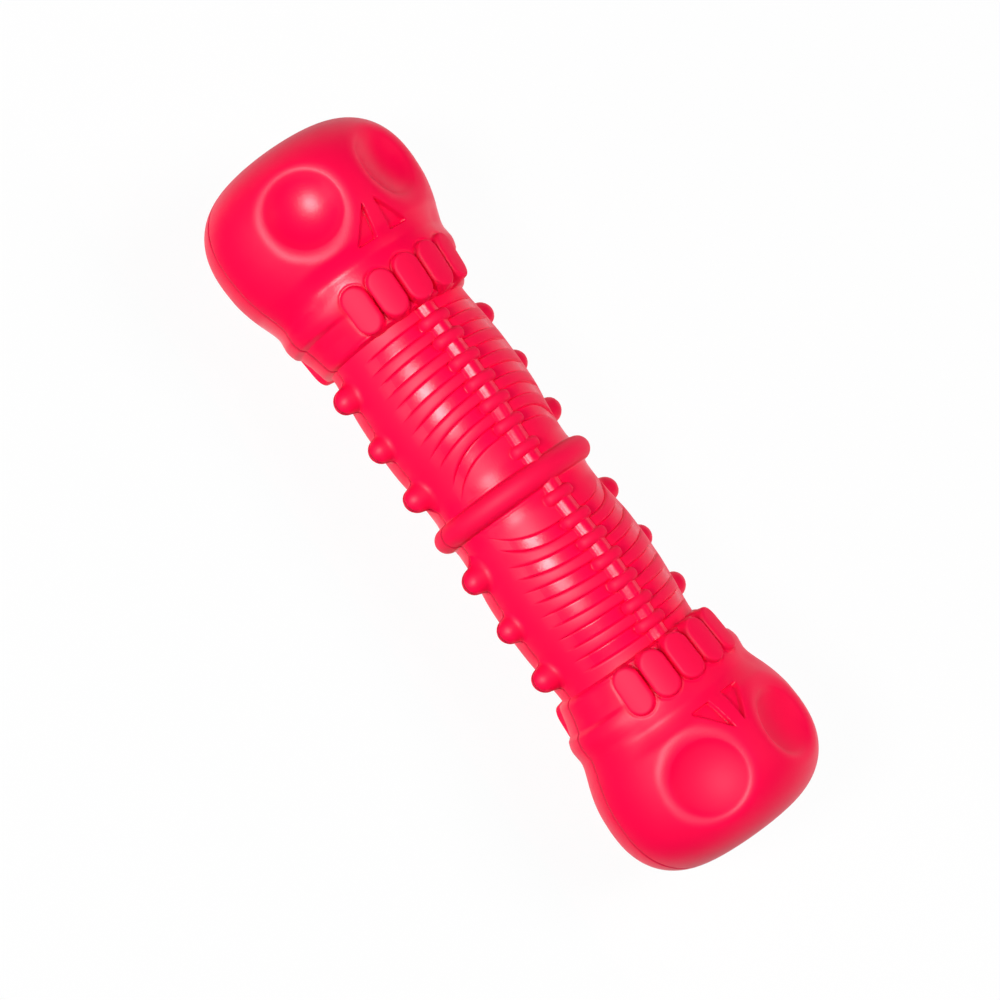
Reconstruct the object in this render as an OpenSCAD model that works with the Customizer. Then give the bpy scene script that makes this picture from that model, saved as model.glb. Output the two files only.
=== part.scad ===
// Hollow rubber chew stick with a skull-like head at each end, bonded from two half shells.
// A bulb squeaker sits in each head. X runs along the toy and Z comes out of the front faces.

/* [Body] */
// Length over both head ends
toy_len = 178; // [170:1:195]
// Diameter of the shaft at its fullest, over the ribs
shaft_d = 36.6; // [35:0.2:38]
// Diameter of the shaft beside the middle ring
waist_d = 34.2; // [33:0.2:35]
// Diameter of the shaft where it enters a head
neck_d = 34.6; // [33.4:0.2:36]
// Distance from the middle to the fullest place of the shaft
belly_x = 24; // [18:0.5:30]
// Thickness of the rubber wall
wall = 5.5; // [4.5:0.1:5.8]

/* [Heads] */
// Length of a head, from its end to its lip over the shaft
head_len = 46.1; // [45:0.1:50]
// Width of a head across the parting plane
head_w = 50.4; // [49:0.2:54]
// Depth of a head from face to back
head_d = 49; // [48:0.2:54]
// Width of the flat on a head's end
end_flat_w = 14; // [8:0.5:16]
// Distance between the widest place of a head and its end
crown_len = 17.4; // [16:0.2:20]

/* [Face] */
// Width of an eye dish at its rim
eye_d = 16.6; // [14:0.2:18]
// Depth of an eye dish below its rim
eye_depth = 2.4; // [1.5:0.1:3]
// Width of the bevel round an eye dish
eye_bevel = 1.5; // [1:0.1:2]
// Angle of an eye from the middle of the face, in degrees
eye_angle = 29.5; // [27:0.5:33]
// Distance from the head's end to the middle of an eye
eye_place = 17.2; // [17:0.2:19]
// Length of a nostril along the toy
nostril_len = 8; // [6:0.2:9]
// Width of a nostril at its base
nostril_w = 5; // [3:0.2:6]
// Depth of a nostril
nostril_depth = 1; // [0.6:0.1:1.4]
// Distance from the head's end to the pointed end of a nostril
nostril_place = 21.8; // [21:0.2:24]
// Gap between the two nostrils at their pointed end
nostril_gap = 2.9; // [2:0.1:4]

/* [Teeth] */
// Number of teeth in each head
tooth_count = 5; // [3:2:5]
// Length of a tooth along the toy
tooth_len = 11; // [9:0.2:11.6]
// Width of a tooth
tooth_w = 6.3; // [5:0.1:6.4]
// Angle from one tooth to the next, in degrees
tooth_pitch = 18.2; // [17.6:0.1:19]
// Height of the teeth over the face, at the middle of their length
tooth_rise = 2.5; // [2.2:0.1:3.2]
// Radius of a tooth's rounded edge
tooth_round = 0.8; // [0.4:0.1:1.2]

/* [Ribs and spine] */
// Number of grooves between the ring and a head
groove_count = 6; // [3:1:6]
// Distance from the middle to the first groove, at the spine
first_groove = 12.2; // [11.6:0.1:13]
// Distance from one groove to the next
groove_pitch = 5.36; // [5.2:0.02:5.4]
// Width of a groove
groove_w = 2.9; // [2.2:0.1:3.2]
// Depth of a groove below the ribs
groove_depth = 0.4; // [0.2:0.05:0.6]
// Lean of the first groove toward the ring, from the spine to the parting plane
lean = 12.5; // [9:0.5:14]
// Width of the spine rail
rail_w = 4.9; // [4:0.1:5.4]
// Height of the spine rail above the ribs
rail_rise = 1.7; // [1:0.1:2]
// Length of a bead across the spine rail
bead_len = 7.6; // [6.4:0.1:8.4]
// Thickness of a bead
bead_w = 2.1; // [1.6:0.1:2.6]
// Height of a bead above the spine rail
bead_rise = 0.6; // [0.4:0.1:1]

/* [Ring and nubs] */
// Thickness of the middle ring
ring_wire = 5.6; // [5:0.1:6]
// Outer diameter of the middle ring
ring_d = 40; // [39:0.2:42]
// Number of nubs on each side, between the ring and a head
nub_count = 3; // [1:1:3]
// Diameter of a nub
nub_d = 5.4; // [4.4:0.1:5.8]
// Distance of a nub's tip from the toy's axis
nub_reach = 22.3; // [21.6:0.1:23]
// Distance from the middle to the first nub
first_nub = 10.5; // [10:0.1:11]
// Distance from one nub to the next
nub_pitch = 12.8; // [12.2:0.1:12.9]

/* [Squeaker] */
// Diameter of the pocket that a head has for the bulb
pocket_d = 35; // [31:0.5:37]
// Outer diameter of the bulb
bulb_d = 27; // [24:0.5:28]
// Length of the bulb without its neck
bulb_len = 35; // [32:0.5:36]
// Thickness of the bulb's wall
bulb_wall = 1.2; // [0.8:0.1:1.6]
// Outer diameter of the bulb's neck
bulb_neck_d = 13; // [12:0.2:15]
// Length of the whistle behind its flange
whistle_len = 10; // [9:0.2:12]
// Diameter of the whistle's flange
flange_d = 15; // [14:0.2:17]
// Thickness of the whistle's flange
flange_t = 1.2; // [0.8:0.1:1.6]
// Length of the reed
reed_len = 7.2; // [6.4:0.1:7.4]
// Width of the reed
reed_w = 3; // [2:0.1:4]
// Thickness of the reed
reed_t = 0.2; // [0.1:0.02:0.3]
// Length of the reed's clamped root
reed_root = 2; // [1.6:0.1:2.4]

/* [Hidden] */

rubber = [0.98, 0.04, 0.24];
milky = [0.93, 0.92, 0.88];
ivory = [0.86, 0.84, 0.76];
amber = [0.78, 0.62, 0.35];

overrun = 0.5;                        // how far a cut runs past the face that it opens
fit = 0.1;                            // clearance round a squeaker piece
half_len = toy_len / 2;
axis_z = head_d / 2;                  // the toy lies on its back, so its axis is this high
lip_x = half_len - head_len;
wide_x = half_len - crown_len;
eye_x = half_len - eye_place;
ring_foot = ring_wire / 2;
lip_edge = 0.3;                       // length of the steep face of a head's lip

// A head's outline from its lip to its widest place: share of that length, share of the head's width
jaw_shares = [[0.02, 0.75], [0.05, 0.773], [0.14, 0.793], [0.22, 0.81], [0.26, 0.825],
              [0.3, 0.853], [0.34, 0.865], [0.44, 0.859], [0.55, 0.888], [0.7, 0.948],
              [0.85, 0.988], [1, 1]];
crown_steps = 6;                      // rings of points from the widest place to the end
crown_power = 2.4;                    // 2 would be an ellipse; more is squarer

// Lean of each groove, as a share of the first one's
lean_shares = [1, 0.5, 0.46, 0.3, 0.19, 0.14];
groove_edge = groove_depth * 0.6;     // length of a groove's sloping side
fan_x = ring_foot + shaft_d / 14;     // nearer to the ring than this, the lines close up

// Points round a half section, as shares of the way from the rail's foot to the parting plane.
// The last ones lie past that plane and are cut off there.
side_shares = [0.16, 0.36, 0.57, 0.78, 1, 1.1];
rail_angle = asin(rail_w / shaft_d);
rail_shares = [0, 0.65];              // points across the rail, as shares of its half width
rail_heights_shares = [1, 0.76];      // their heights, as shares of the rail's

// Half a bead's outline: share of its half length, share of its height over the shaft
bead_shares = [[1, -0.4], [1, 0.2], [0.76, 0.72], [0.32, 0.97]];

// A nostril's outline: share of its length from the pointed end, share of its width
nostril_shares = [[0, 0], [1, 0.1], [1, 0.9], [0.75, 1]];

// The pocket in a head: share of its radius, at its widest place and toward its closed end
pocket_shares = [0.94, 1, 0.9, 0.55];

function ease(t) = (1 - cos(180 * t)) / 2;
function blend(a, b, t) = a + (b - a) * ease(min(max(t, 0), 1));

// Radius of the shaft over its ribs: narrow by the ring and by the heads
function shaft_r(x) =
    x < belly_x ? blend(waist_d, shaft_d, (x - ring_foot) / (belly_x - ring_foot)) / 2
                : blend(shaft_d, neck_d, (x - belly_x) / (lip_x - belly_x)) / 2;

// Radius of an ellipse with these half sizes, at an angle from the middle of the face
function oval_r(half_w, half_d, angle) =
    1 / sqrt(pow(sin(angle) / half_w, 2) + pow(cos(angle) / half_d, 2));

// Distance of the face from the axis, between a head's lip and its widest place
function face_r(x) = head_d / 2 * lookup((x - lip_x) / (wide_x - lip_x), jaw_shares);

// Near the ring the leaning lines run together instead of crossing it
function close_up(x) =
    x > fan_x ? x : ring_foot + (fan_x - ring_foot) * exp((x - fan_x) / (fan_x - ring_foot));

// A line along the body: [place at the spine, lean, depth below the ribs, half width, half depth]
function shaft_line(x, lean_by, drop) = [x, lean_by, drop, 0, 0];
function head_line(x, half_w, half_d) = [x, 0, 0, half_w, half_d];

groove_sides = [[-0.5, -1, 0], [-0.5, 0, 1], [0.5, 0, 1], [0.5, 1, 0]];
groove_lines = [
    for (i = [0 : groove_count - 1], side = groove_sides)
        shaft_line(first_groove + i * groove_pitch + side[0] * groove_w + side[1] * groove_edge,
                   lean * lean_shares[i], side[2] * groove_depth)
];
jaw_lines = [
    for (s = jaw_shares)
        head_line(lip_x + s[0] * (wide_x - lip_x), s[1] * head_w / 2, s[1] * head_d / 2)
];
crown_lines = [
    for (i = [1 : crown_steps])
        let (turn = 90 * i / crown_steps,
             along = pow(sin(turn), 2 / crown_power),
             out = i == crown_steps ? 0 : pow(cos(turn), 2 / crown_power),
             flat = end_flat_w / 2)
        head_line(wide_x + crown_len * along,
                  flat + (head_w / 2 - flat) * out, flat + (head_d / 2 - flat) * out)
];
right_lines = concat([shaft_line(ring_foot, 0, 0)], groove_lines,
                     [shaft_line(lip_x - lip_edge, 0, 0)], jaw_lines, crown_lines);
line_count = len(right_lines);
last_line = 2 * line_count - 1;

// Angles from the middle of the face to the side, on one side
quarter = concat([for (s = rail_shares) s * rail_angle], [rail_angle],
                 [for (s = side_shares) rail_angle + s * (90 - rail_angle)]);
last_quarter = len(quarter) - 1;
half_angles = concat([for (i = [last_quarter : -1 : 1]) -quarter[i]], quarter);
last_angle = len(half_angles) - 1;

function rail_height(angle) =
    lookup(abs(angle), [[0, rail_rise], [rail_shares[1] * rail_angle, rail_heights_shares[1] * rail_rise],
                        [rail_angle, 0]]);

function surface_point(line, side, angle) =
    let (x = line[3] > 0 ? line[0] : close_up(line[0] - line[1] * pow(abs(angle) / 90, 2)),
         on_rail = abs(angle) < rail_angle,
         r = line[3] > 0 ? oval_r(line[3], line[4], angle)
                         : shaft_r(x) + rail_height(angle) - (on_rail ? 0 : line[2]))
    [side * x, r * sin(angle), r * cos(angle)];

// The front of the body, to a little past the parting plane: rings of points along the toy
module front_body() {
    columns = last_angle + 1;
    points = [
        for (i = [0 : last_line], j = [0 : last_angle])
            let (right = i >= line_count,
                 line = right_lines[right ? i - line_count : line_count - 1 - i])
            surface_point(line, right ? 1 : -1, half_angles[j])
    ];
    skin = [
        for (i = [0 : last_line - 1], j = [0 : last_angle - 1], half = [0, 1])
            let (a = i * columns + j, b = a + 1, c = a + columns, d = c + 1)
            half == 0 ? [a, b, d] : [a, d, c]
    ];
    floor_strip = [
        for (i = [0 : last_line - 1], half = [0, 1])
            let (a = i * columns, b = a + last_angle, c = a + columns, d = c + last_angle)
            half == 0 ? [a, d, b] : [a, c, d]
    ];
    left_end = [[for (j = [last_angle : -1 : 0]) j]];
    right_end = [[for (j = [0 : last_angle]) last_line * columns + j]];
    polyhedron(points, concat(skin, floor_strip, left_end, right_end), convexity = 10);
}

// Places a child on both heads, with its own X pointing out toward the head's end
module both_heads() {
    children();
    mirror([1, 0, 0]) children();
}

// Turns a child about the toy's axis, from the middle of the face
module round_axis(angle) {
    rotate([-angle, 0, 0]) children();
}

// A tooth: a stadium-shaped pad with a rounded edge, rooted below the lip's radius
module tooth() {
    middle_x = lip_x + tooth_len / 2;
    step_out = tooth_len / 2 - tooth_w / 2;
    top_r = tooth_w / 2 - tooth_round;
    root_z = jaw_shares[0][1] * head_d / 2 - wall / 4;
    $fn = 10;
    hull()
        for (end = [-1, 1])
            translate([middle_x + end * step_out, 0, face_r(middle_x) + tooth_rise]) {
                translate([0, 0, -tooth_round]) cylinder(r = tooth_w / 2, h = tooth_round / 2);
                translate([0, 0, -tooth_round / 2]) cylinder(r = top_r, h = tooth_round / 2);
                translate([0, 0, root_z - face_r(middle_x) - tooth_rise])
                    cylinder(r = tooth_w / 2, h = tooth_round);
            }
}

module teeth() {
    first = -(tooth_count - 1) / 2;
    for (i = [0 : tooth_count - 1])
        round_axis((first + i) * tooth_pitch) tooth();
}

// A bead: a bar with rounded ends that crosses the spine rail
module bead() {
    top = rail_rise + bead_rise;
    near = [for (s = bead_shares) [-s[0] * bead_len / 2, s[1] * top]];
    far = [for (i = [len(near) - 1 : -1 : 0]) [-near[i][0], near[i][1]]];
    rotate([90, 0, 90]) linear_extrude(bead_w, center = true) polygon(concat(near, far));
}

module beads() {
    for (i = [-1 : groove_count - 1]) {
        x = first_groove + i * groove_pitch;
        translate([x, 0, shaft_r(x)]) bead();
    }
}

// A nub: a round post on the parting plane, wider at its foot
module nub(root_r) {
    $fn = 10;
    rotate([-90, 0, 0])
        hull() {
            translate([0, 0, nub_reach - nub_d / 2]) sphere(d = nub_d);
            translate([0, 0, root_r - wall / 2]) cylinder(d = 1.2 * nub_d, h = wall / 4);
        }
}

module nubs() {
    for (i = [0 : nub_count - 1], side = [0, 1]) {
        x = first_nub + i * nub_pitch;
        translate([x, 0, 0]) mirror([0, side, 0]) nub(shaft_r(x));
    }
}

module ring() {
    rotate([0, 90, 0])
        rotate_extrude($fn = 32)
            translate([ring_d / 2 - ring_wire / 2, 0])
                circle(d = ring_wire, $fn = 10);
}

// An eye cutter: a spherical dish with a bevel round its rim, opening along Z
module eye_cut() {
    r = eye_d / 2;
    ball = (pow(r, 2) + pow(eye_depth, 2)) / (2 * eye_depth);
    span = asin(r / ball);
    steps = 3;
    dish = [for (i = [0 : steps]) let (a = span * i / steps) [ball * sin(a), ball - eye_depth - ball * cos(a)]];
    rotate_extrude($fn = 20)
        polygon(concat(dish, [[r + eye_bevel, eye_bevel * 0.4], [r + 2 * eye_bevel, wall], [0, wall]]));
}

module eye_cuts() {
    rim_r = oval_r(head_w / 2, head_d / 2, eye_angle);
    rim_sag = rim_r - sqrt(pow(rim_r, 2) - pow(eye_d / 2, 2));
    for (side = [-1, 1])
        round_axis(side * eye_angle)
            translate([eye_x, 0, rim_r - rim_sag]) eye_cut();
}

// A nostril cutter: a triangle that points to the forehead, its floor along the slope of the face
module nostril_cut() {
    inner = nostril_gap / 2;
    tip_x = half_len - nostril_place;
    slope = atan((face_r(tip_x) - face_r(tip_x - nostril_len)) / nostril_len);
    translate([tip_x, 0, face_r(tip_x) - nostril_depth])
        rotate([0, -slope, 0])
            linear_extrude(wall)
                polygon([for (s = nostril_shares) [-s[0] * nostril_len, inner + s[1] * nostril_w]]);
}

module nostril_cuts() {
    nostril_cut();
    mirror([0, 1, 0]) nostril_cut();
}

// Places inside a head, measured from the middle of the toy
web_x = lip_x + lip_edge;
web_t = 4;
seat_x = web_x + web_t;
pocket_end = half_len - wall;
bulb_start = pocket_end - fit - bulb_len;

// Room inside the shell: a long chamber in the shaft and a pocket in each head
module chambers() {
    s = pocket_shares * pocket_d / 2;
    jaw_r = head_d / 2 * jaw_shares[0][1] - wall;
    rotate([0, 90, 0]) {
        rotate_extrude($fn = 16)
            polygon([[0, -web_x], [neck_d / 2 - wall, -web_x], [shaft_d / 2 - wall, -belly_x],
                     [waist_d / 2 - wall, 0], [shaft_d / 2 - wall, belly_x],
                     [neck_d / 2 - wall, web_x], [0, web_x]]);
        for (turn = [0, 180])
            rotate([turn, 0, 0])
                rotate_extrude($fn = 16)
                    polygon([[0, seat_x], [jaw_r, seat_x], [s[0], wide_x - wall], [s[1], wide_x],
                             [s[2], (wide_x + pocket_end) / 2], [s[3], pocket_end], [0, pocket_end]]);
    }
}

// What stays of the rubber inside the pockets: a saddle round the bulb's belly
module saddle() {
    saddle_t = wall / 2;
    translate([bulb_start + bulb_len / 2, 0, 0]) rotate([0, 90, 0])
        difference() {
            cylinder(d = head_w, h = saddle_t, $fn = 20);
            translate([0, 0, -overrun]) cylinder(d = bulb_d + 2 * fit, h = saddle_t + 2 * overrun, $fn = 32);
        }
}

module hollow() {
    difference() {
        chambers();
        both_heads() saddle();
    }
    both_heads()
        translate([web_x - overrun, 0, 0]) rotate([0, 90, 0])
            cylinder(d = bulb_neck_d + 2 * fit, h = web_t + 2 * overrun, $fn = 24);
}

// One half shell of the toy, front side up, with its parting face on the XY plane
module shell() {
    difference() {
        intersection() {
            union() {
                front_body();
                ring();
                both_heads() {
                    teeth();
                    beads();
                    nubs();
                }
            }
            translate([-toy_len, -toy_len, 0]) cube([2 * toy_len, 2 * toy_len, toy_len]);
        }
        hollow();
        both_heads() {
            eye_cuts();
            nostril_cuts();
        }
    }
}

module front_half() {
    color(rubber) translate([0, 0, axis_z]) shell();
}

module back_half() {
    color(rubber) translate([0, 0, axis_z]) mirror([0, 0, 1]) shell();
}

// Places a squeaker piece in the right head (side = 1) or the left head (side = -1)
module in_head(side) {
    translate([0, 0, axis_z]) mirror([side < 0 ? 1 : 0, 0, 0]) children();
}

// The bulb: a thin capsule with a straight neck toward the shaft
module capsule(d, length) {
    $fn = 16;
    translate([d / 2, 0, 0]) sphere(d = d);
    translate([d / 2, 0, 0]) rotate([0, 90, 0]) cylinder(d = d, h = length - d);
    translate([length - d / 2, 0, 0]) sphere(d = d);
}

neck_start = web_x - flange_t / 2;
neck_bore = bulb_neck_d - 2 * bulb_wall;
whistle_d = neck_bore - 2 * fit;

module bulb(side) {
    color(milky) in_head(side)
        difference() {
            union() {
                translate([bulb_start, 0, 0]) capsule(bulb_d, bulb_len);
                translate([neck_start, 0, 0]) rotate([0, 90, 0])
                    cylinder(d = bulb_neck_d, h = bulb_start + bulb_d / 4 - neck_start, $fn = 24);
            }
            translate([bulb_start + bulb_wall, 0, 0])
                capsule(bulb_d - 2 * bulb_wall, bulb_len - 2 * bulb_wall);
            translate([neck_start - overrun, 0, 0]) rotate([0, 90, 0])
                cylinder(d = neck_bore, h = bulb_start + bulb_d / 4 - neck_start + overrun, $fn = 24);
        }
}

reed_start = neck_start + flange_t;
reed_room = reed_w + 6 * fit;
root_gap = reed_t / 2 + fit;
air_w = reed_room;                    // the reed swings into its air way without touching it
air_depth = reed_w * 0.6;

// The whistle's body: the lower half of a plug, with a flange and an air way under the reed
module whistle_body(side) {
    color(ivory) in_head(side)
        difference() {
            union() {
                translate([neck_start - flange_t, 0, 0]) rotate([0, 90, 0])
                    cylinder(d = flange_d, h = flange_t - fit, $fn = 24);
                translate([neck_start - flange_t, 0, 0]) rotate([0, 90, 0])
                    cylinder(d = whistle_d, h = whistle_len, $fn = 24);
            }
            // room for the cap, above the reed's plane
            translate([neck_start, -flange_d / 2, 0]) cube([whistle_len, flange_d, flange_d]);
            // the reed's own room, and the air way below it
            translate([reed_start - fit, -reed_room / 2, -root_gap])
                cube([whistle_len, reed_room, flange_d]);
            translate([reed_start + reed_root, -air_w / 2, -air_depth])
                cube([whistle_len, air_w, flange_d]);
            translate([neck_start - flange_t - overrun, 0, -air_depth / 2]) rotate([0, 90, 0])
                cylinder(d = air_depth * 0.8, h = whistle_len, $fn = 24);
        }
}

// The whistle's cap: the upper half of the plug, which clamps the reed's root
module whistle_cap(side) {
    color(ivory) in_head(side)
        difference() {
            translate([neck_start, 0, 0]) rotate([0, 90, 0])
                cylinder(d = whistle_d, h = whistle_len - flange_t, $fn = 24);
            translate([neck_start - overrun, -flange_d / 2, -flange_d])
                cube([whistle_len, flange_d, flange_d]);
            translate([reed_start - fit, -reed_room / 2, -overrun])
                cube([whistle_len, reed_room, overrun + root_gap]);
            translate([reed_start + reed_root, -reed_room / 2, -overrun])
                cube([whistle_len, reed_room, overrun + air_depth / 2]);
        }
}

// The reed: a thin springy strip, held at its root
module reed(side) {
    color(amber) in_head(side)
        translate([reed_start, -reed_w / 2, -reed_t / 2]) cube([reed_len, reed_w, reed_t]);
}

module bulb_left() bulb(-1);
module bulb_right() bulb(1);
module whistle_body_left() whistle_body(-1);
module whistle_body_right() whistle_body(1);
module whistle_cap_left() whistle_cap(-1);
module whistle_cap_right() whistle_cap(1);
module reed_left() reed(-1);
module reed_right() reed(1);

front_half();
back_half();
bulb_left();
bulb_right();
whistle_body_left();
whistle_body_right();
whistle_cap_left();
whistle_cap_right();
reed_left();
reed_right();
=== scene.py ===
# Rubber chew stick with a skull-like head at each end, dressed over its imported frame.
# Lengths in the settings are millimetres, and x is counted from the middle ring.
import itertools
import math

import bmesh
import bpy
import numpy as np
from mathutils import Matrix, Vector
from mathutils.geometry import tessellate_polygon


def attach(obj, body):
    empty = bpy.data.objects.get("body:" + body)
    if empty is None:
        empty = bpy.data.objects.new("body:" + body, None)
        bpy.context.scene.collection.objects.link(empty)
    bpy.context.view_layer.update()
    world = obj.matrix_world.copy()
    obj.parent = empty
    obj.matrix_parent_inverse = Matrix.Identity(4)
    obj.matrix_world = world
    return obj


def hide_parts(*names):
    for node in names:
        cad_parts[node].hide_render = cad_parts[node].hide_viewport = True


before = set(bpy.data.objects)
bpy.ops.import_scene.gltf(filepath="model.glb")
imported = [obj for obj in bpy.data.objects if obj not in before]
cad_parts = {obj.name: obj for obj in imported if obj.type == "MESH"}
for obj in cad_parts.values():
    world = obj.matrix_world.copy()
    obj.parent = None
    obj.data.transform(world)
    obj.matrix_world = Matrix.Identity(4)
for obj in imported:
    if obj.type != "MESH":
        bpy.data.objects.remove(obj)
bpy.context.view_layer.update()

metre = 0.001
axisHeight = 24.5           # of the toy's long axis over the floor
quarter = math.pi / 2       # the turn from the middle of a face to the parting line


# small helpers on arrays

def smoothStep(low, high, v):
    t = np.clip((v - low) / (high - low), 0, 1)
    return t * t * (3 - 2 * t)


def softMin(a, b, k):
    return np.minimum(a, b) - np.maximum(k - np.abs(a - b), 0) ** 2 / (4 * k)


def softMax(a, b, k):
    return np.maximum(a, b) + np.maximum(k - np.abs(a - b), 0) ** 2 / (4 * k)


def curveThrough(points, v):
    # a smooth curve through given points, flat beyond its ends
    px, py = np.array(points, float).T
    slope = np.gradient(py, px)
    v = np.clip(v, px[0], px[-1])
    i = np.clip(np.searchsorted(px, v, side="right") - 1, 0, len(px) - 2)
    h = px[i + 1] - px[i]
    t = (v - px[i]) / h
    return ((2 * t ** 3 - 3 * t ** 2 + 1) * py[i] + (t ** 3 - 2 * t ** 2 + t) * h * slope[i]
            + (3 * t ** 2 - 2 * t ** 3) * py[i + 1] + (t ** 3 - t ** 2) * h * slope[i + 1])


def alongPath(path, t):
    # points at the shares t of a path's length
    steps = np.concatenate([[0], np.cumsum(np.hypot(*np.diff(path, axis=0).T))])
    s = t * steps[-1]
    return np.interp(s, steps, path[:, 0]), np.interp(s, steps, path[:, 1])


# the shaft: ribs, leaning grooves, spine rail with beads, middle ring, side nubs

shaft = {
    "profile": [(0, 17.1), (7, 17.1), (11, 17.45), (16.5, 18.15), (24, 18.35), (31, 18.15), (37, 17.6),
                (41.5, 17.15), (44, 17.1)],
    "ringFoot": 2.8,
    "closeFrom": 5.4,                           # nearer to the ring than this the lines crowd together
    "leanEnd": 42.6,                            # from here to the head's end the lines run straight round
}
groove = {
    "first": 12.2, "pitch": 5.36,
    "leans": [18.5, 9.0, 5.7, 3.8, 2.4, 1.7],   # toward the ring, from the spine to the parting line
    "turns": [3.0, 2.4, 2.0, 2.0, 2.0, 2.0],    # how late each one turns aside
    "half": 1.45, "deep": 0.42, "edgeWidth": 0.17, "edgeDeep": 0.2, "ribCrown": 0.1,
    "beside": 0.2,                              # the strip beside it that leans just as it does
    "startsAt": (3.2, 4.6),                     # the relief grows out of the ring's foot over this stretch
    "fade": (48, 63),                           # and dies out between these angles
}
rail = {
    "half": 2.5, "rise": [(0, 1.5), (24, 1.7), (42, 1.95)], "steep": 6.0, "fillet": 0.2,
    # its section, as the distance from the midline and the share of its rise
    "section": [(-0.3, 0.983), (0, 1), (0.3, 0.983), (0.6, 0.926), (1.4, 0.651), (2.17, 0.32), (2.35, 0.143),
                (2.5, -0.229)],
    "sector": 20,                               # the angle on each side of the midline that it may fill
    "measuredOver": 1.0,                        # its widths are measured this far over the shaft
    "shows": (0.1, 0.5),                        # it is glossy where it stands this far over the grooves
}
bead = {"places": [6.05, 12.2, 17.57, 22.93, 28.45, 34.0, 38.9], "half": 4.0, "thick": 1.4,
        "over": 0.7, "droop": 0.5, "steep": 6.0, "fillet": 0.2, "shows": (0.05, 0.3)}
ring = {"centre": 17.2, "wire": 2.8, "reach": 3.6, "fillet": 0.35, "clear": 0.05, "blend": 0.1,
        "turn": 80, "turnPoints": 21, "footPoints": 5, "shows": (0.3, 0.8)}
nub = {
    "places": [10.6, 23.5, 36.3], "radius": 2.9, "tip": 22.3, "flank": 76, "fillet": 1.2, "reach": 5.2,
    "mergeFrom": 0.6,                           # the shaft's relief comes back from this share of its reach
    "domePoints": 15, "filletPoints": 9,
}
seam = {
    "deep": 0.9, "width": 0.2,
    "shade": 0.7,                               # its painted shade falls off this much slower than the dip
    "endsFrom": 80,                             # from here the dip follows the slope of the head's end
}

groovePlaces = [groove["first"] + groove["pitch"] * i for i in range(len(groove["leans"]))]
leaningHalf = groove["half"] + groove["beside"]


def shaftRadius(x):
    return curveThrough(shaft["profile"], x)


def leanAt(u, angle):
    # how far the line that starts at u on the spine has moved toward the ring at this angle
    places = [centre + side * leaningHalf for centre in groovePlaces for side in (-1, 1)] + [shaft["leanEnd"]]
    leans = np.append(np.repeat(groove["leans"], 2), 0)
    turns = np.append(np.repeat(groove["turns"], 2), groove["turns"][-1])
    turned = np.abs(angle) / quarter
    return np.interp(u, places, leans) * turned ** np.interp(u, places, turns)


def closeUp(x):
    # keeps a place off the ring: what would come nearer than closeFrom crowds together before its foot
    foot, start = shaft["ringFoot"], shaft["closeFrom"]
    crowded = foot + (start - foot) * np.exp((np.minimum(x, start) - start) / (start - foot))
    return np.where(x > start, x, crowded)


def placeAlong(u, angle):
    # where a leaning line that starts at u on the spine lies at this angle
    foot = shaft["ringFoot"]
    first = groovePlaces[0] - leaningHalf
    leaning = closeUp(u - leanAt(u, angle))
    firstX = closeUp(first - leanAt(first, angle))
    besideRing = foot + (u - foot) / (first - foot) * (firstX - foot)
    x = np.where(u < first, besideRing, leaning)
    return np.where((u <= foot) | (u >= shaft["leanEnd"]), u, x)


def grooveMask(u):
    soft = groove["edgeWidth"] / 2
    insides = [groove["half"] - np.abs(u - centre) for centre in groovePlaces]
    return smoothStep(-soft, soft, np.max(insides, axis=0))


def fadeAside(angle):
    return 1 - smoothStep(*np.radians(groove["fade"]), np.abs(angle))


def grooveRelief(u, x, angle):
    half = groove["half"]
    relief = -groove["deep"] * grooveMask(u)
    for centre, side in itertools.product(groovePlaces, (-1, 1)):
        relief -= groove["edgeDeep"] * np.exp(-((u - centre - side * half) / groove["edgeWidth"]) ** 2)
    # ribs are slightly crowned between two grooves
    for a, b in itertools.pairwise(groovePlaces):
        t = np.clip((u - a - half) / (b - a - 2 * half), 0, 1)
        relief += groove["ribCrown"] * 4 * t * (1 - t)
    return relief * fadeAside(angle) * smoothStep(*groove["startsAt"], x) * (u < head["lip"])


def railAndBeads(u, across, base):
    # the spine's height over the axis, and where a bead and the rail show; across is counted from the midline
    rise = curveThrough(rail["rise"], u)
    top = rise * curveThrough(rail["section"], np.abs(across))
    top -= rail["steep"] * np.maximum(np.abs(across) - rail["half"], 0)
    plainRail = softMax(base, shaftRadius(u) + top, rail["fillet"])
    onRail = smoothStep(*rail["shows"], plainRail - base)
    arch =(rise + bead["over"]) * (1 - bead["droop"] * (across / bead["half"]) ** 2)
    thick = bead["thick"]
    height = plainRail
    for centre in bead["places"]:
        away = np.hypot(u - centre, np.maximum(np.abs(across) - (bead["half"] - thick), 0))
        roll = thick - np.sqrt(thick ** 2 - np.minimum(away, thick) ** 2)
        roll += bead["steep"] * np.maximum(away - thick, 0)
        height = softMax(height, shaftRadius(centre) + arch - roll, bead["fillet"])
    onBead = smoothStep(*bead["shows"], height - plainRail)
    return height, onBead, onRail


def ringProfile():
    # the ring's section as a path from its crest down to the shaft beside it
    wire, base = ring["wire"], float(shaftRadius(0))
    turns = np.radians(np.linspace(0, ring["turn"], ring["turnPoints"]))
    path = [(wire * math.sin(a), ring["centre"] + wire * math.cos(a)) for a in turns]
    startX, startR = path[-1]
    for t in np.linspace(0, 1, ring["footPoints"])[1:]:
        path.append((startX + ring["clear"] + ring["fillet"] * t ** 2, base + (startR - base) * (1 - t) ** 2))
    path.append((ring["reach"], base))
    return np.array(path)


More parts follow.
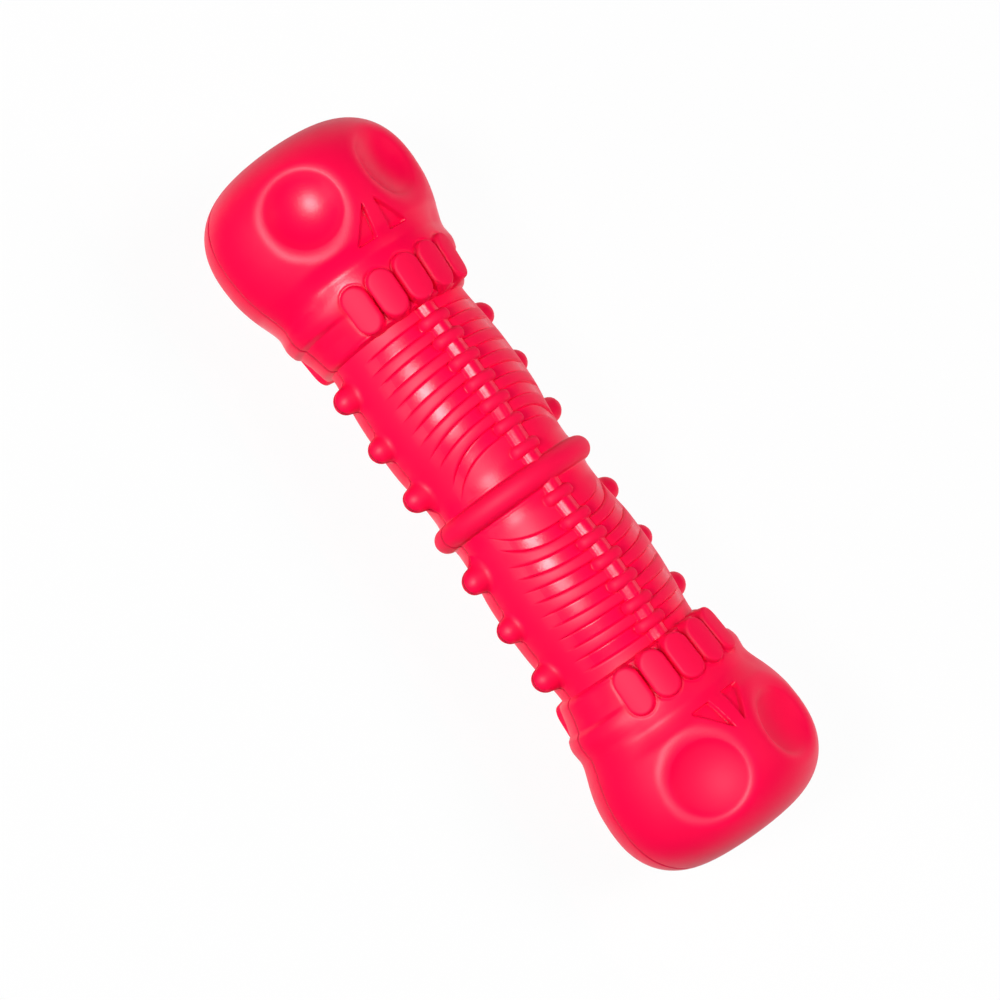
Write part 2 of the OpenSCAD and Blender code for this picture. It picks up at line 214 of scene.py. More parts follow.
def nubProfile(base):
    # from the tip over the dome, down the leaning flank and out over the fillet
    r, f, tip, flank = nub["radius"], nub["fillet"], nub["tip"], math.radians(nub["flank"])
    dome = np.linspace(0, flank, nub["domePoints"])
    path = [(r * math.sin(a), tip - r + r * math.cos(a)) for a in dome]
    drop = path[-1][1] - base - f * (1 - math.cos(flank))
    corner = path[-1][0] + drop / math.tan(flank)
    path += [(corner + f * (math.sin(flank) - math.sin(a)), base + f * (1 - math.cos(a)))
             for a in np.linspace(flank, 0, nub["filletPoints"])]
    path.append((nub["reach"], base))
    return np.array(path)


def raiseNubs(points, plain):
    for end, place, side in itertools.product((-1, 1), nub["places"], (-1, 1)):
        dx = points[..., 0] - end * place
        dz = points[..., 2]
        away = np.hypot(dx, dz)
        near = (away < nub["reach"]) & (points[..., 1] * side > 0)
        base = float(shaftRadius(place))
        t = away[near] / nub["reach"]
        out, height = alongPath(nubProfile(base), t)
        grow = out / np.maximum(away[near], 1e-6)
        newZ = dz[near] * grow
        # under the nub the shaft is plain, and at its edge the relief comes back
        keep = smoothStep(nub["mergeFrom"], 1, t)
        r = plain[near] * (1 - keep) + np.hypot(points[near][:, 1], points[near][:, 2]) * keep
        newY = side * (np.sqrt(np.maximum(r ** 2 - newZ ** 2, 0)) + height - base)
        points[near] = np.stack([end * place + dx[near] * grow, newY, newZ], axis=1)
    return points


def partingLine(away):
    # how deep the line is, and how strongly painted shade darkens it, at this distance from the parting plane
    gap = away / seam["width"]
    return seam["deep"] * np.exp(-gap ** 2), np.exp(-(gap * seam["shade"]) ** 2)


# the heads: jaw lobes, crown, teeth, eye dishes and nostrils

head = {
    "lip": 42.9, "widest": 71.6, "end": 89.0, "halfWidth": 25.2, "halfDepth": axisHeight,
    "lipEdge": 0.15,            # its skin starts this far before the lip
    "lipOver": 1.0,             # and up to this far behind it is never lower than the shaft
    "endFlat": 7.0, "crownPower": 2.4,
    # the head's radius along its side and along its face, up to the widest place
    "side": [(42.75, 17.1), (43.0, 17.7), (43.4, 18.25), (43.9, 18.6), (44.8, 18.85), (45.9, 19.1),
             (47, 19.35), (48.1, 19.7), (49.2, 20.05), (49.6, 20.15), (50.6, 21.2), (51.1, 21.4),
             (51.7, 21.6), (52.7, 21.78), (54.2, 21.7), (55.7, 21.58), (57, 21.8), (58.8, 22.4),
             (61, 23.22), (63.1, 23.9), (65.3, 24.45), (67.4, 24.82), (69.6, 25.0), (71.6, 25.1)],
    "face": [(42.75, 17.1), (42.95, 17.9), (43.2, 18.9), (43.9, 19.4), (45.4, 19.7), (47, 19.95),
             (49.2, 20.3), (51.7, 21.0), (54.2, 21.3), (55.7, 21.25), (57.2, 21.2), (58.4, 21.6),
             (59.6, 22.2), (61, 23.0), (63.1, 23.75), (65.3, 24.4), (67.4, 24.8), (69.6, 25.0),
             (71.6, 25.1)],
    "faceToSide": (44, 62),     # the angles between which the face turns into the side
}
tooth = {
    "count": 5, "pitch": 18.2, "start": 43.1, "length": 11.0, "width": 6.3, "top": [(43, 21.4), (54.2, 22.2)],
    "edge": 0.7, "crown": 0.15, "crownTo": 1.2, "steep": 5.0, "fillet": 0.15, "wrapRadius": 21.8,
    "crevice": 0.2, "creviceAside": 0.35, "creviceWidth": 0.3, "shows": (-0.1, 0.2),
}
eye = {"place": 72.4, "angle": 29.5, "bottom": 20.0, "depth": 2.5, "rim": 8.3, "bank": 0.3, "soft": 1.3,
       "reach": 13.5, "wornFrom": (7.5, 6.3)}
nostril = {"corners": [(66.7, 1.5), (59.5, 1.9), (59.5, 6.8)], "round": 0.35, "outerRound": 0.9, "deep": 1.2,
           "wall": 0.4}


def headRadius(x, angle):
    toSide = smoothStep(*np.radians(head["faceToSide"]), np.abs(angle))
    jaw = curveThrough(head["face"], x) * (1 - toSide) + curveThrough(head["side"], x) * toSide
    share = jaw / head["side"][-1][1]
    t = np.clip((x - head["widest"]) / (head["end"] - head["widest"]), 0, 1)
    power, flat = head["crownPower"], head["endFlat"]
    out = np.clip(1 - t ** power, 0, 1) ** (1 / power)
    width, depth = (np.where(x > head["widest"], flat + (half - flat) * out, share * half)
                    for half in (head["halfWidth"], head["halfDepth"]))
    return 1 / np.hypot(np.sin(angle) / width, np.cos(angle) / depth)


def addTeeth(x, angle, base):
    # the jaw with its teeth, and where a tooth is
    top = np.interp(x, *np.array(tooth["top"], float).T)
    half, width = tooth["length"] / 2, tooth["width"] / 2
    along = np.maximum(np.abs(x - tooth["start"] - half) - (half - width), 0)
    middles = [math.radians(tooth["pitch"] * (i - (tooth["count"] - 1) / 2)) for i in range(tooth["count"])]
    insides = [width - np.hypot(along, tooth["wrapRadius"] * (angle - middle)) for middle in middles]
    nearest = np.max(insides, axis=0)
    outside = (nearest + tooth["creviceAside"]) / tooth["creviceWidth"]
    base = base - tooth["crevice"] * np.exp(-outside ** 2)
    for middle, inside in zip(middles, insides):
        across = tooth["wrapRadius"] * np.abs(angle - middle)
        k = np.clip(1 - inside / tooth["edge"], 0, 1)
        drop = tooth["edge"] * (1 - np.sqrt(1 - k ** 2)) + tooth["steep"] * np.maximum(-inside, 0)
        crown = tooth["crown"] * np.minimum(across / width, tooth["crownTo"]) ** 2
        base = softMax(base, top - drop - crown, tooth["fillet"])
    return base, smoothStep(*tooth["shows"], nearest)


def nostrilDepth(x, across):
    # how deep the nostril is here: a rounded triangle on each side of the midline
    across = np.abs(across)
    corners = np.array(nostril["corners"])
    middle = corners.mean(axis=0)
    insides = []
    for a, b in zip(corners, np.roll(corners, -1, axis=0)):
        normal = np.array([b[1] - a[1], a[0] - b[0]]) / np.linalg.norm(b - a)
        normal *= np.sign(np.dot(normal, middle - a))       # toward the inside
        insides.append((x - a[0]) * normal[0] + (across - a[1]) * normal[1])
    outer = softMin(insides[1], insides[2], nostril["outerRound"])
    inside = softMin(outer, insides[0], nostril["round"])
    return nostril["deep"] * smoothStep(-nostril["wall"] / 2, nostril["wall"] / 2, inside)


def pressEyes(points):
    # lowers the skin into a ball-shaped dish with a soft bank round it, along the eye's own axis
    inDish = np.zeros(points.shape[:2])
    rim, depth = eye["rim"], eye["depth"]
    ball = (rim ** 2 + depth ** 2) / (2 * depth)
    for end, side in itertools.product((-1, 1), (-1, 1)):
        a = math.radians(side * eye["angle"])
        out = np.array([0, math.sin(a), math.cos(a)])
        fromEye = points - [end * eye["place"], 0, 0]
        height = fromEye @ out
        aside = np.linalg.norm(fromEye - height[..., None] * out, axis=-1)
        near = (aside < eye["reach"]) & (height > 0)
        d = aside[near]
        dish = eye["bottom"] + ball - np.sqrt(ball ** 2 - np.minimum(d, rim) ** 2)
        dish += eye["bank"] * np.maximum(d - rim, 0)
        fall = softMin(height[near], dish, eye["soft"]) - height[near]
        points[near] += fall[:, None] * out
        inDish[near] = np.maximum(inDish[near], smoothStep(*eye["wornFrom"], d))
    return points, inDish


# the half shell's skin: a grid of lines along the toy and points round it

grid = {
    # each stretch ends at the first number and has its lines the second number apart
    "besideRing": [(shaft["ringFoot"], 0.14), (4.6, 0.16)],
    "ribs": [(20, 0.16), (50, 0.32)],           # the first ribs are stretched toward the parting line
    "head": [(42.5, 0.3), (44.1, 0.1), (49.2, 0.3), (51.2, 0.14), (53.2, 0.3), (55.0, 0.15), (58.8, 0.35),
             (60.0, 0.12), (66.0, 0.22), (67.0, 0.14), (head["widest"], 0.35)],
    "turns": [(2.4, 0.35), (5.4, 0.3), (10.6, 0.2), (18, 0.4), (26, 0.8), (28.6, 0.2), (43.4, 0.8), (46, 0.4),
              (74, 1.1), (88.2, 0.8), (90, 0.3)],
    # extra lines on each side of a groove's middle and of a bead's middle
    "atGroove": [0, 0.5, 0.85, 0.98, 1.06, 1.2, 1.34, 1.45, 1.56, 1.7, 2.0],
    "atBead": [0.7, 1.25, 1.38, 1.6],
    "beadInGroove": 2,                          # a bead this near to a groove shares its lines
    "afterBead": 0.2,                           # the next stretch starts this far past a bead's last line
    "crownLines": 40,                           # from a head's widest place to its end
    "endRings": (0.9, 0.6, 0.3, 0.1, 0.03),     # of the flat on a head's end, as shares of its radius
    "sharpFrom": 62,                            # an edge that turns more than this stays sharp
}
hollow = {
    # its outline, as place and radius: chamber, web, pocket and saddle
    "outline": [(0, 11.6), (24, 12.8), (43.2, 11.8), (43.2, 6.6), (47.2, 6.6), (47.2, 12.9), (65.9, 16.4),
                (65.9, 13.6), (68.65, 13.6), (68.65, 16.95), (71.6, 17.5), (77.55, 15.75), (83.5, 9.6)],
    "turn": 6,                                  # the angle between its lines
}
# shares of the full gloss: the left head's eyes and the saddle behind its teeth are worn shiny,
# and dullDish is the share of the full dullness that the right head's eyes have
finish = {
    "rail": 0.8, "groove": 1.0, "besideRing": 0.65, "head": 0.15, "worn": 0.75, "dullDish": 1.0,
    # the stretches over which a finish comes and goes
    "grooveFrom": (3.4, 5.0), "ringUpTo": (7.0, 5.0), "saddleFrom": (52.5, 54.5), "saddleUpTo": (62.0, 60.0),
}


def spread(start, end, step):
    # evenly spaced places from start up to, but not including, end
    count = max(1, round((end - start) / step))
    return [start + (end - start) * i / count for i in range(count)]


def spreadOver(start, stretches):
    places = []
    for end, step in stretches:
        places += spread(start, end, step)
        start = end
    return places


def linesAlong():
    lines = spreadOver(0, grid["besideRing"])
    last = grid["besideRing"][-1][0]
    for centre in bead["places"]:
        step = next(step for end, step in grid["ribs"] if last < end)
        nearest = min(groovePlaces, key=lambda place: abs(centre - place))
        middle = nearest if abs(centre - nearest) < grid["beadInGroove"] else centre
        places = sorted({round(middle + side * f, 3) for f in grid["atGroove"] for side in (-1, 1)}
                        | {round(centre + side * f, 3) for f in grid["atBead"] for side in (-1, 1)})
        lines += spread(last, places[0], step) + places
        last = places[-1] + grid["afterBead"]
    lines += spreadOver(last, grid["head"])
    turns = np.linspace(0, quarter, grid["crownLines"])
    crown = (head["end"] - head["widest"]) * np.sin(turns) ** (2 / head["crownPower"])
    return np.append(lines, head["widest"] + crown)


def skinGrid():
    right = linesAlong()
    turns = np.radians(spreadOver(0, grid["turns"]) + [90])
    return np.meshgrid(np.append(-right[:0:-1], right), np.append(-turns[:0:-1], turns), indexing="ij")


def outerSkin():
    # the points of one half's outside, and the shares of gloss, dullness, and the parting line's dullness and
    # painted shade on each
    signedU, angle = skinGrid()
    u = np.abs(signedU)
    leftSide, rightSide = signedU < 0, signedU > 0
    x = placeAlong(u, angle)
    plain = shaftRadius(x)
    onHead = x > head["lip"] - head["lipEdge"]
    # grooves and spine
    r = plain + grooveRelief(u, x, angle)
    gloss = finish["groove"] * grooveMask(u) * fadeAside(angle) * smoothStep(*finish["grooveFrom"], x)
    gloss = np.maximum(gloss * (u < head["lip"]), finish["besideRing"] * smoothStep(*finish["ringUpTo"], x))
    onSpine = (np.abs(angle) < math.radians(rail["sector"])) & ~onHead
    raised, onBead, onRail = railAndBeads(u, (plain + rail["measuredOver"]) * angle, r)
    r = np.where(onSpine, raised, r)
    gloss = np.where(onSpine, np.maximum(gloss, finish["rail"] * onRail * (1 - onBead)), gloss)
    matte = onBead * onSpine
    # heads
    plainHead = headRadius(x, angle)
    toothed, onTooth = addTeeth(x, angle, plainHead)
    toothed -= nostrilDepth(x, plainHead * angle)
    toothed = np.where(x < head["lip"] + head["lipOver"], np.maximum(toothed, plain), toothed)
    r = np.where(onHead, toothed, r)
    # ring
    onRing = x < ring["reach"]
    ringX, ringR = alongPath(ringProfile(), np.clip(x / ring["reach"], 0, 1))
    matte = np.where(onRing, smoothStep(*ring["shows"], ringR - plain), matte)
    matte = np.maximum(matte, onTooth * onHead)
    worn = smoothStep(*finish["saddleFrom"], x) * smoothStep(*finish["saddleUpTo"], x) * leftSide
    gloss = np.where(onHead, finish["head"] + (finish["worn"] - finish["head"]) * worn, gloss) * (1 - matte)
    x = np.where(onRing, ringX, x)
    r = np.where(onRing, softMax(ringR, r, ring["blend"]), r)
    # the parting line is cut square to the skin, also where it runs over a head's end
    # the parting line's mask also carries its painted shade
    dip, seamDullAndShaded = partingLine((quarter - np.abs(angle)) * r)
    slope = np.abs(np.gradient(r[:, 0], signedU[:, 0]))[:, None]
    tilt = np.where(u > seam["endsFrom"], np.arctan(slope), 0)
    r = r - dip * np.cos(tilt)
    x = x - dip * np.sin(tilt)
    points = np.stack([np.sign(signedU) * x, r * np.sin(angle), r * np.cos(angle)], axis=-1)
    points, inDish = pressEyes(points)
    gloss = np.maximum(gloss, finish["worn"] * inDish * leftSide)
    matte = np.maximum(matte, finish["dullDish"] * inDish * rightSide)
    points = raiseNubs(points, plain - dip)
    points[:, [0, -1], 2] = 0                   # the edges lie in the parting plane
    return points, np.stack([gloss, matte, seamDullAndShaded], axis=-1)


def endFlat(rim, end):
    # rings that shrink from the rim of a head's flat end to its middle, with the parting line and its painted
    # shade across
    rings = np.array([rim * [1, share, share] for share in grid["endRings"]])
    dip, seamDullAndShaded = partingLine(rings[..., 2])
    rings[..., 0] = end * (head["end"] - dip)
    none = np.zeros_like(seamDullAndShaded)
    return rings, np.stack([none, none, seamDullAndShaded], axis=-1)


def hollowSkin():
    right = np.array(hollow["outline"])
    places = np.append(-right[:0:-1, 0], right[:, 0])[:, None]
    radii = np.append(right[:0:-1, 1], right[:, 1])[:, None]
    turns = np.radians(np.arange(-90, 91, hollow["turn"]))
    points = np.stack(np.broadcast_arrays(places, radii * np.sin(turns), radii * np.cos(turns)), axis=-1)
    points[:, [0, -1], 2] = 0
    return points


def buildHalf(name, side):
    # a closed half shell: outside, flat ends, hollow, and the parting face between them
    blocks, masks, faces = [], [], []

    def addPoints(points, mask=(0, 0, 0)):
        start = sum(map(len, blocks))
        blocks.append(np.reshape(points, (-1, 3)))
        masks.append(np.broadcast_to(np.reshape(mask, (-1, 3)), blocks[-1].shape))
        return start + np.arange(len(blocks[-1])).reshape(np.shape(points)[:-1])

    def addQuads(index):
        corners = [index[:-1, :-1], index[:-1, 1:], index[1:, 1:], index[1:, :-1]]
        faces.extend(np.stack(corners, axis=-1).reshape(-1, 4).tolist())

    def addTip(row, x, mask=(0, 0, 0)):
        # closes a row of points with a fan to a point on the axis
        tip = int(addPoints([[x, 0, 0]], mask)[0])
        faces.extend([int(a), int(b), tip] for a, b in itertools.pairwise(row))
        return tip

    points, finishes = outerSkin()
    skin = addPoints(points, finishes)
    addQuads(skin)
    over = {}
    for end, row in ((-1, 0), (1, -1)):
        flat = np.vstack([skin[row][None], addPoints(*endFlat(points[row], end))])
        addQuads(flat)
        tip = addTip(flat[-1], end * (head["end"] - seam["deep"]), (0, 0, 1))
        over[end] = [*flat[1:, 0], tip, *flat[:0:-1, -1]]
    # the parting face's outline: along one side, over the right end, back along the other, over the left end
    outer = [*skin[:, 0], *over[1], *skin[::-1, -1], *over[-1][::-1]]
    points = hollowSkin()
    inside = addPoints(points)
    addQuads(inside)
    tips = [addTip(inside[row], points[row, 0, 0]) for row in (0, -1)]
    hole = [*inside[:, 0], tips[1], *inside[::-1, -1], tips[0]]
    verts = np.concatenate(blocks)
    loops = [[Vector((*verts[i][:2], 0)) for i in loop] for loop in (outer, hole)]
    edges = outer + hole
    faces += [[int(edges[i]) for i in triangle] for triangle in tessellate_polygon(loops)]
    placed = (verts * [1, 1, side] + [0, 0, axisHeight]) * metre
    return closedPiece(name, placed, faces, np.concatenate(masks))


def closedPiece(name, verts, faces, masks):
    mesh = bpy.data.meshes.new(name)
    mesh.from_pydata(verts.tolist(), [], faces)
    mesh.validate()
    solid = bmesh.new()
    solid.from_mesh(mesh)
    bmesh.ops.recalc_face_normals(solid, faces=solid.faces)
    solid.to_mesh(mesh)
    solid.free()
    for key, values in zip(("gloss", "matte", "seam"), masks.T):
        attribute = mesh.attributes.new(key, "FLOAT", "POINT")
        attribute.data.foreach_set("value", np.ascontiguousarray(values, np.float32))
    mesh.shade_smooth()
    mesh.set_sharp_from_angle(angle=math.radians(grid["sharpFrom"]))
    piece = bpy.data.objects.new(name, mesh)
    bpy.context.scene.collection.objects.link(piece)
    return piece


# materials: a bump's distance is in metres, and the grain's scales are counted per metre

mixSockets = {"FLOAT": (2, 3, 0), "RGBA": (6, 7, 2)}      # A, B and the result
grain = {"Fine Scale": 2600.0, "Broad Scale": 90.0, "Broad Share": 0.3}


def addNode(tree, kind, **settings):
    node = tree.nodes.new(kind)
    for key, value in settings.items():
        if key in node.inputs:
            node.inputs[key].default_value = value
        else:
            setattr(node, key, value)
    return node


def mixBetween(tree, kind, share, first, second):
    # first where the share is 0 and second where it is 1; each is a socket or a plain value
    node = addNode(tree, "ShaderNodeMix", data_type=kind)
    a, b, result = mixSockets[kind]
    for place, value in ((0, share), (a, first), (b, second)):
        if isinstance(value, bpy.types.NodeSocket):
            tree.links.new(value, node.inputs[place])
        else:
            node.inputs[place].default_value = value
    return node.outputs[result]


def mouldedGrainGroup():
    # fine grain of a moulded skin: a height for a bump and a tone from 0 to 1
    group = bpy.data.node_groups.new("mouldedGrain", "ShaderNodeTree")
    for name, value in grain.items():
        socket = group.interface.new_socket(name, in_out="INPUT", socket_type="NodeSocketFloat")
        socket.default_value = value
    for name in ("Height", "Tone"):
        group.interface.new_socket(name, in_out="OUTPUT", socket_type="NodeSocketFloat")
    into, out = group.nodes.new("NodeGroupInput"), group.nodes.new("NodeGroupOutput")
    place = group.nodes.new("ShaderNodeTexCoord")
    fine = addNode(group, "ShaderNodeTexNoise", Detail=3.0, Roughness=0.6)
    broad = addNode(group, "ShaderNodeTexNoise", Detail=2.0, Roughness=0.5)
    link = group.links.new
    for noise, scale in ((fine, "Fine Scale"), (broad, "Broad Scale")):
        link(place.outputs["Object"], noise.inputs["Vector"])
        link(into.outputs[scale], noise.inputs["Scale"])
    share = into.outputs["Broad Share"]
    height = mixBetween(group, "FLOAT", share, fine.outputs["Fac"], broad.outputs["Fac"])
    link(height, out.inputs["Height"])
    link(broad.outputs["Fac"], out.inputs["Tone"])
    return group


grainGroup = mouldedGrainGroup()


def mouldedMaterial(name, settings):
    # a moulded finish: two close colours, and a roughness and bump that follow the grain
    material = bpy.data.materials.new(name)
    material.use_nodes = True
    tree = material.node_tree
    shader = tree.nodes["Principled BSDF"]
    moulded = addNode(tree, "ShaderNodeGroup", node_tree=grainGroup)
    for socket, value in zip(grain, settings["grain"]):
        moulded.inputs[socket].default_value = value
    tone = moulded.outputs["Tone"]
    rough = addNode(tree, "ShaderNodeMapRange")
    rough.inputs["To Min"].default_value, rough.inputs["To Max"].default_value = settings["roughness"]
    bump = addNode(tree, "ShaderNodeBump", Strength=settings["bump"], Distance=settings["bumpDistance"])
    first, second = ((*settings[key], 1) for key in ("colour", "colourTwo"))
    link = tree.links.new
    link(mixBetween(tree, "RGBA", tone, first, second), shader.inputs["Base Color"])
    link(tone, rough.inputs["Value"])
    link(rough.outputs["Result"], shader.inputs["Roughness"])
    link(moulded.outputs["Height"], bump.inputs["Height"])
    link(bump.outputs["Normal"], shader.inputs["Normal"])
    return material


redRubber = {
    # the third colour is painted shade, mixed in along the parting line's crease
    "colour": (0.93, 0.0005, 0.06), "colourTwo": (0.91, 0.0003, 0.054), "seamPaintedShade": (0.32, 0.0003, 0.015),
    "grain": (3200.0, 60.0, 0.25),              # fine scale, broad scale and broad share
    "roughness": (0.45, 0.5), "bump": 0.4, "bumpDistance": 0.00012, "ior": 1.27,
    "finishes": {"gloss": 0.26, "matte": 0.6, "seam": 0.95},      # the roughness of each
}


def makeRedRubber():
    # ribs are satin, rail and grooves glossier, ring, beads and teeth duller, the parting line duller and
    # darkened with painted shade
    material = mouldedMaterial("redRubber", redRubber)
    tree = material.node_tree
    shader = tree.nodes["Principled BSDF"]
    shader.inputs["IOR"].default_value = redRubber["ior"]
    rough = shader.inputs["Roughness"].links[0].from_socket
    masks = {}
    for key, value in redRubber["finishes"].items():
        masks[key] = addNode(tree, "ShaderNodeAttribute", attribute_name=key).outputs["Fac"]
        rough = mixBetween(tree, "FLOAT", masks[key], rough, value)
    # painted shade: the base colour darkens along the parting line's crease
    colour = shader.inputs["Base Color"].links[0].from_socket
    colour = mixBetween(tree, "RGBA", masks["seam"], colour, (*redRubber["seamPaintedShade"], 1))
    tree.links.new(rough, shader.inputs["Roughness"])
    tree.links.new(colour, shader.inputs["Base Color"])
    return material


innerFinishes = {
    "bulb": {
        "material": "bulbRubber", "colour": (0.72, 0.69, 0.6), "colourTwo": (0.66, 0.63, 0.54),
        "grain": (2400.0, 70.0, 0.5), "roughness": (0.45, 0.6), "bump": 0.2, "bumpDistance": 0.0001,
    },
    "whistle": {
        "material": "whistlePlastic", "colour": (0.62, 0.57, 0.43), "colourTwo": (0.57, 0.52, 0.39),
        "grain": (3000.0, 200.0, 0.2), "roughness": (0.2, 0.32), "bump": 0.1, "bumpDistance": 0.00005,
    },
    "reed": {
        "material": "reedPlastic", "colour": (0.5, 0.3, 0.08), "colourTwo": (0.44, 0.26, 0.07),
        "grain": (4000.0, 400.0, 0.2), "roughness": (0.3, 0.42), "bump": 0.08, "bumpDistance": 0.00003,
    },
}


def dressInner():
    for kind, settings in innerFinishes.items():
        material = mouldedMaterial(settings["material"], settings)
        for name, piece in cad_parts.items():
            if name.startswith(kind):
                piece.data.materials.clear()
                piece.data.materials.append(material)


print("shell")
rubber = makeRedRubber()
for name, side in (("front_skin", 1), ("back_skin", -1)):
    skin = buildHalf(name, side)
    skin.data.materials.append(rubber)
    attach(skin, "shell")
    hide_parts("front_half" if side > 0 else "back_half")
    print(name, len(skin.data.vertices), "vertices")
dressInner()
print("squeakers")


# floor, light and camera: lengths are metres here, but the camera's places are millimetres

stage = {"floorHalf": 3.0, "white": (0.86, 0.86, 0.86), "glow": 0.95}
card = {"near": 0.033, "far": 0.9, "half": 0.7, "height": 0.0006,
        "black": (0.01, 0.01, 0.01), "roughness": 0.9}
studio = {
    "nearWall": 0.12, "farWall": 1.0, "between": (-0.3, 0.2),   # the near wall turns into the far one here
    "overhead": 0.05, "wallTop": (0.0, 0.35),                   # and both into the ceiling here
}


def makeSheet(name, left, right, front, back, height):
    mesh = bpy.data.meshes.new(name)
    corners = [(left, front), (right, front), (right, back), (left, back)]
    mesh.from_pydata([(*corner, height) for corner in corners], [], [(0, 1, 2, 3)])
    sheet = bpy.data.objects.new(name, mesh)
    bpy.context.scene.collection.objects.link(sheet)
    return sheet


def makeCard():
    # a black card beside the toy, on the camera's side: only its reflection in the rubber is seen
    sheet = makeSheet("blackCard", -card["half"], card["half"], -card["far"], -card["near"], card["height"])
    material = bpy.data.materials.new("blackCard")
    material.use_nodes = True
    shader = material.node_tree.nodes["Principled BSDF"]
    shader.inputs["Base Color"].default_value = (*card["black"], 1)
    shader.inputs["Roughness"].default_value = card["roughness"]
    sheet.data.materials.append(material)
    sheet.visible_camera = sheet.visible_shadow = sheet.visible_transmission = False


def largestOf(tree, *sockets):
    largest = sockets[0]
    for socket in sockets[1:]:
        node = addNode(tree, "ShaderNodeMath", operation="MAXIMUM")
        tree.links.new(largest, node.inputs[0])
        tree.links.new(socket, node.inputs[1])
        largest = node.outputs[0]
    return largest


def makeFloor():
    half = stage["floorHalf"]
    floor = makeSheet("floor", -half, half, -half, half, 0)
    material = bpy.data.materials.new("paleFloor")
    material.use_nodes = True
    tree = material.node_tree
    tree.nodes.clear()
    out = tree.nodes.new("ShaderNodeOutputMaterial")
    matte = addNode(tree, "ShaderNodeBsdfDiffuse", Color=(*stage["white"], 1))
    glow = addNode(tree, "ShaderNodeEmission", Strength=1.0)
    path = tree.nodes.new("ShaderNodeLightPath").outputs
    seen = largestOf(tree, path["Is Camera Ray"], path["Is Glossy Ray"], path["Is Transmission Ray"])
    share = addNode(tree, "ShaderNodeMath", operation="MULTIPLY")
    share.inputs[1].default_value = stage["glow"]
    mix = tree.nodes.new("ShaderNodeMixShader")
    link = tree.links.new
    link(seen, share.inputs[0])
    link(share.outputs[0], mix.inputs["Fac"])
    link(matte.outputs[0], mix.inputs[1])
    link(glow.outputs[0], mix.inputs[2])
    link(mix.outputs[0], out.inputs["Surface"])
    floor.data.materials.append(material)


def makeWorld():
    # a white wall behind the toy, a dim one on the camera's side and a dark ceiling light it, and the camera
    # sees white all round
    world = bpy.data.worlds.new("studio")
    world.use_nodes = True
    tree = world.node_tree
    link = tree.links.new
    back = tree.nodes["Background"]
    back.inputs["Color"].default_value = (1, 1, 1, 1)
    parts = tree.nodes.new("ShaderNodeSeparateXYZ")
    link(tree.nodes.new("ShaderNodeTexCoord").outputs["Generated"], parts.inputs[0])
    walls = addNode(tree, "ShaderNodeMapRange", interpolation_type="SMOOTHSTEP")
    ceiling = addNode(tree, "ShaderNodeMapRange", interpolation_type="SMOOTHSTEP")
    for ramp, stretch in ((walls, studio["between"]), (ceiling, studio["wallTop"])):
        ramp.inputs["From Min"].default_value, ramp.inputs["From Max"].default_value = stretch
    walls.inputs["To Min"].default_value = studio["nearWall"]
    walls.inputs["To Max"].default_value = studio["farWall"]
    ceiling.inputs["To Max"].default_value = studio["overhead"]
    link(parts.outputs["Y"], walls.inputs["Value"])
    link(parts.outputs["Z"], ceiling.inputs["Value"])
    link(walls.outputs["Result"], ceiling.inputs["To Min"])
    path = tree.nodes.new("ShaderNodeLightPath").outputs
    shown = largestOf(tree, path["Is Camera Ray"], path["Is Transmission Ray"], ceiling.outputs["Result"])
    link(shown, back.inputs["Strength"])
    bpy.context.scene.world = world


camera = {
    "roll": 27.5, "tilt": -0.5, "aside": 23.0, "distance": 582.7, "sensor": 36,
    "picture": 1000, "pixel": 0.2158,           # the picture's width in pixels, and a pixel at the toy
    "axisRight": 0.581, "axisDown": 0.814,      # the toy's long axis in the picture
    "centreRight": 12.4, "centreUp": 5.3,       # the toy's middle in the picture, in pixels from its centre
    "clip": (0.01, 20),                         # how near and how far it sees, in metres
}


def viewAxes():
    # the picture's right, up and toward-the-camera directions in the toy's frame
    roll, tilt = math.radians(camera["roll"]), math.radians(camera["tilt"])
    side = Vector((0, math.cos(roll), math.sin(roll)))
    along = Vector((1, 0, 0))
    toward = Vector((0, -math.sin(roll), math.cos(roll)))
    toward = (toward * math.cos(tilt) + along * math.sin(tilt)).normalized()
    right = along * camera["axisRight"] + side * camera["axisDown"]
    right = (right - toward * right.dot(toward)).normalized()
    return right, toward.cross(right), toward


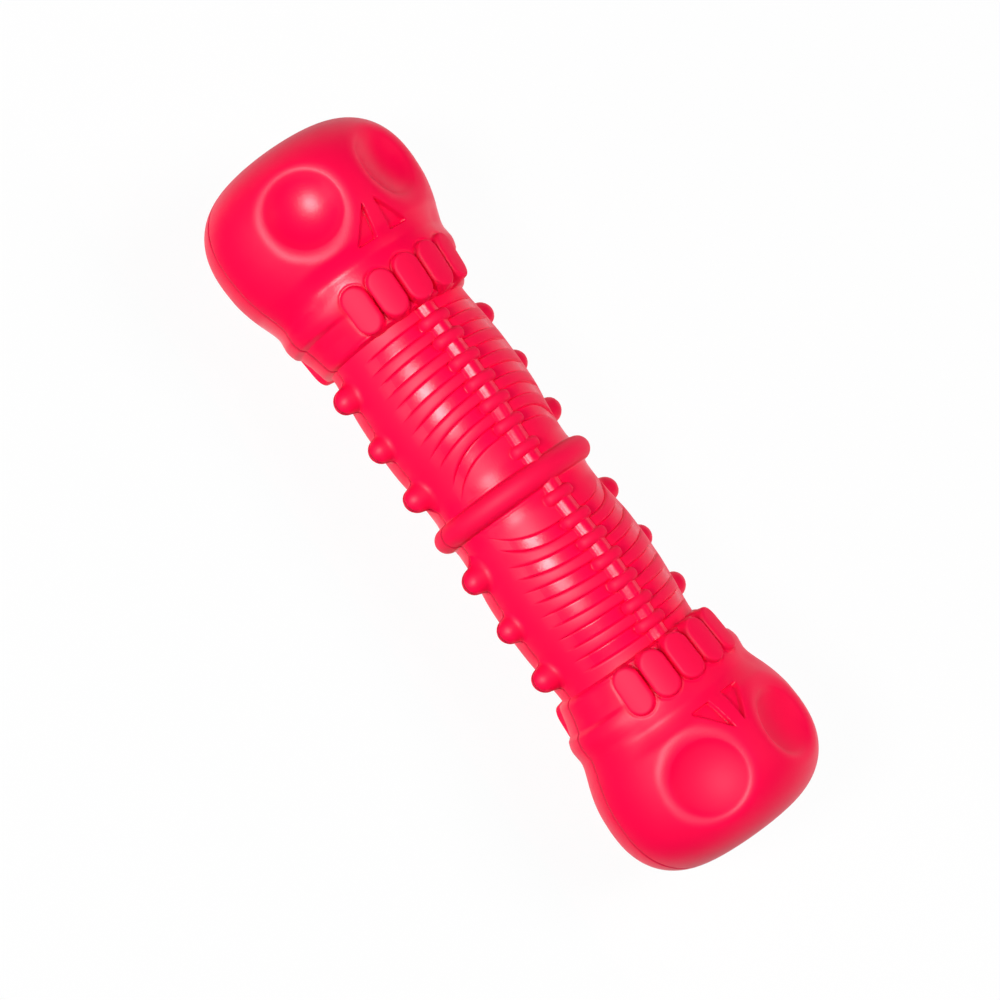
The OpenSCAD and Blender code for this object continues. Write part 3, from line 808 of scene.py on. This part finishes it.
def makeCamera():
    # the camera stands aside of the toy's middle and looks square to the picture, so the lens is shifted
    right, up, toward = viewAxes()
    aside = Vector((camera["aside"], 0, 0))
    place = Vector((0, 0, axisHeight)) + toward * camera["distance"] + aside
    width = camera["picture"] * camera["pixel"]
    data = bpy.data.cameras.new("camera")
    data.sensor_width = camera["sensor"]
    data.shift_x = -aside.dot(right) / width - camera["centreRight"] / camera["picture"]
    data.shift_y = -aside.dot(up) / width - camera["centreUp"] / camera["picture"]
    data.lens = camera["sensor"] * camera["distance"] / width
    data.clip_start, data.clip_end = camera["clip"]
    cam = bpy.data.objects.new("camera", data)
    turn = Matrix((right, up, toward)).transposed().to_4x4()
    cam.matrix_world = Matrix.Translation(place * metre) @ turn
    bpy.context.scene.collection.objects.link(cam)
    bpy.context.scene.camera = cam


lamps = {
    # places in the picture's own directions: right, up, toward the camera
    "key": {"place": (-0.28, -0.05, 0.9), "size": 0.2, "power": 4.4, "lights": True, "shines": True},
    "glint": {"place": (-0.28, -0.05, 0.9), "size": 0.2, "power": 11.5, "lights": False, "shines": True},
    "rightFill": {"place": (0.8, 0.25, 0.6), "size": 0.6, "power": 7.5, "lights": True, "shines": False},
    "leftFill": {"place": (-0.8, -0.35, 0.5), "size": 0.6, "power": 11.0, "lights": True, "shines": False},
}


def makeLamps():
    # the glint only makes highlights, and the fills make none
    axes = viewAxes()
    middle = Vector((0, 0, axisHeight * metre))
    for name, settings in lamps.items():
        data = bpy.data.lights.new(name, "AREA")
        data.shape = "DISK"
        data.size = settings["size"]
        data.energy = settings["power"]
        lamp = bpy.data.objects.new(name, data)
        away = sum((axis * step for axis, step in zip(axes, settings["place"])), Vector())
        lamp.location = middle + away
        lamp.rotation_mode = "QUATERNION"
        lamp.rotation_quaternion = away.to_track_quat("Z", "Y")
        lamp.visible_diffuse = settings["lights"]
        lamp.visible_glossy = settings["shines"]
        bpy.context.scene.collection.objects.link(lamp)


makeFloor()
makeCard()
makeWorld()
makeCamera()
makeLamps()
bpy.context.scene.view_settings.view_transform = "Standard"
print("stage")
